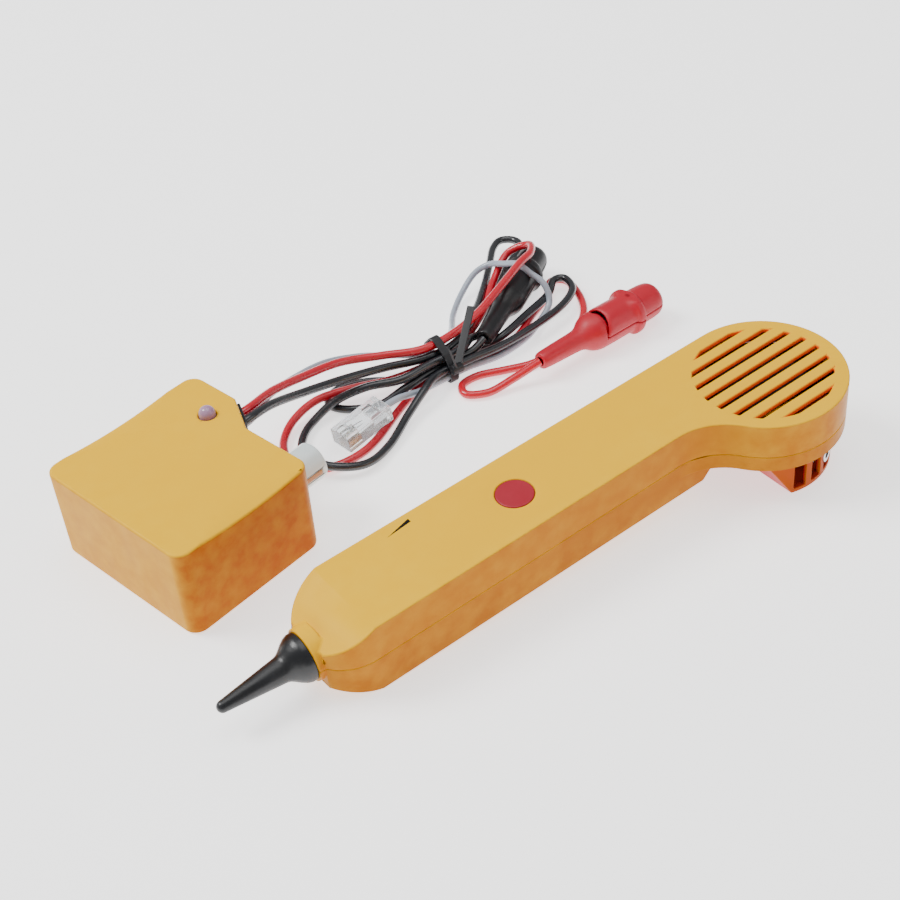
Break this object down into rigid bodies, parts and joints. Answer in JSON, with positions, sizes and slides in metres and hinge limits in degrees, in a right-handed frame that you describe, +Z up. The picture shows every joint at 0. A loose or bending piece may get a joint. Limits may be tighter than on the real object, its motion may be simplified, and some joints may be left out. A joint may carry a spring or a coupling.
{
  "type": "tone probe kit",
  "caption": "Tone generator box with clip leads and a line cord tied in a hank, and an amplifier probe with a round slotted speaker head, a push button and a tapered tip.",
  "frame": {"origin": "centre of the box around both units, on the surface that they stand on", "axes": "+X along the probe from its tip to its head, +Y from the probe towards the generator, +Z up"},
  "size_m": [0.243, 0.1922, 0.0378],
  "materials": {
    "generator_case": "satin",
    "generator_base": "satin",
    "generator_screws": "satin",
    "generator_battery": "satin",
    "generator_battery_snap": "matte",
    "generator_board": "matte",
    "generator_led": "glossy",
    "rotary_switch": "matte",
    "selector_knob": "glossy",
    "knob_pointer": "matte",
    "lead_grommet": "matte",
    "probe_upper_shell": "satin",
    "probe_lower_shell": "satin",
    "probe_battery_door": "satin",
    "probe_battery": "satin",
    "probe_battery_snap": "matte",
    "probe_board": "matte",
    "power_button": "satin",
    "push_switch": "matte",
    "volume_wheel": "matte",
    "volume_pot": "satin",
    "speaker_frame": "satin",
    "speaker_magnet": "matte",
    "speaker_cone": "matte",
    "sound_drum": "satin",
    "earphone_jack": "polished",
    "probe_tip": "satin",
    "antenna_rod": "satin",
    "probe_screws": "satin",
    "black_lead": "satin",
    "red_lead": "satin",
    "line_cord": "satin",
    "modular_plug": "polished",
    "plug_contacts": "polished",
    "black_boot": "satin",
    "black_boot_top": "satin",
    "black_clip_lower": "satin",
    "black_clip_upper": "satin",
    "black_clip_pin": "satin",
    "black_clip_spring": "satin",
    "red_boot": "satin",
    "red_boot_top": "satin",
    "red_clip_lower": "satin",
    "red_clip_upper": "satin",
    "red_clip_pin": "satin",
    "red_clip_spring": "satin",
    "twist_tie": "matte"
  },
  "bodies": {
    "generator": {"generator_case": "generator_case", "generator_base": "generator_base", "generator_screws": "generator_screws", "generator_battery": "generator_battery", "generator_battery_snap": "generator_battery_snap", "generator_board": "generator_board", "generator_led": "generator_led", "rotary_switch": "rotary_switch", "lead_grommet": "lead_grommet", "black_lead": "black_lead", "red_lead": "red_lead", "line_cord": "line_cord", "modular_plug": "modular_plug", "plug_contacts": "plug_contacts", "black_boot": "black_boot", "black_clip_lower": "black_clip_lower", "black_clip_pin": "black_clip_pin", "black_clip_spring": "black_clip_spring", "red_boot": "red_boot", "red_clip_lower": "red_clip_lower", "red_clip_pin": "red_clip_pin", "red_clip_spring": "red_clip_spring", "twist_tie": "twist_tie"},
    "knob": {"selector_knob": "selector_knob", "knob_pointer": "knob_pointer"},
    "probe": {"probe_upper_shell": "probe_upper_shell", "probe_lower_shell": "probe_lower_shell", "probe_battery": "probe_battery", "probe_battery_snap": "probe_battery_snap", "probe_board": "probe_board", "push_switch": "push_switch", "volume_pot": "volume_pot", "speaker_frame": "speaker_frame", "speaker_magnet": "speaker_magnet", "speaker_cone": "speaker_cone", "sound_drum": "sound_drum", "earphone_jack": "earphone_jack", "probe_tip": "probe_tip", "antenna_rod": "antenna_rod", "probe_screws": "probe_screws"},
    "button": {"power_button": "power_button"},
    "volume": {"volume_wheel": "volume_wheel"},
    "battery_door": {"probe_battery_door": "probe_battery_door"},
    "red_clip_jaw": {"red_boot_top": "red_boot_top", "red_clip_upper": "red_clip_upper"},
    "black_clip_jaw": {"black_boot_top": "black_boot_top", "black_clip_upper": "black_clip_upper"}
  },
  "joints": [
    {"name": "probe_lift", "type": "slide", "parent": "generator", "child": "probe", "axis": [0, 0, 1], "range_m": [0, 0.06]},
    {"name": "selector_turn", "type": "hinge", "parent": "generator", "child": "knob", "pos_m": [-0.05462, 0.02514, 0.0205], "axis": [0.9799, 0.1994, 0], "range_deg": [-45, 45]},
    {"name": "power_press", "type": "slide", "parent": "probe", "child": "button", "axis": [0.0541, 0, -0.9985], "range_m": [0, 0.0012], "stiffness_N_per_m": 800, "springref_m": -0.0004},
    {"name": "volume_turn", "type": "hinge", "parent": "probe", "child": "volume", "pos_m": [-0.04514, -0.02945, 0.02314], "axis": [-0.0541, 0, 0.9985], "range_deg": [-135, 135]},
    {"name": "battery_door_slide", "type": "slide", "parent": "probe", "child": "battery_door", "axis": [-0.9985, 0, -0.0541], "range_m": [0, 0.062]},
    {"name": "black_jaw_open", "type": "hinge", "parent": "generator", "child": "black_clip_jaw", "pos_m": [0.07787, 0.07263, 0.008], "axis": [-0.5225, 0.8526, 0], "range_deg": [0, 20], "stiffness_Nm_per_rad": 0.1, "springref_deg": -10.03},
    {"name": "red_jaw_open", "type": "hinge", "parent": "generator", "child": "red_clip_jaw", "pos_m": [0.08896, 0.03397, 0.008], "axis": [0.0523, -0.9986, 0], "range_deg": [0, 20], "stiffness_Nm_per_rad": 0.1, "springref_deg": -10.03}
  ]
}
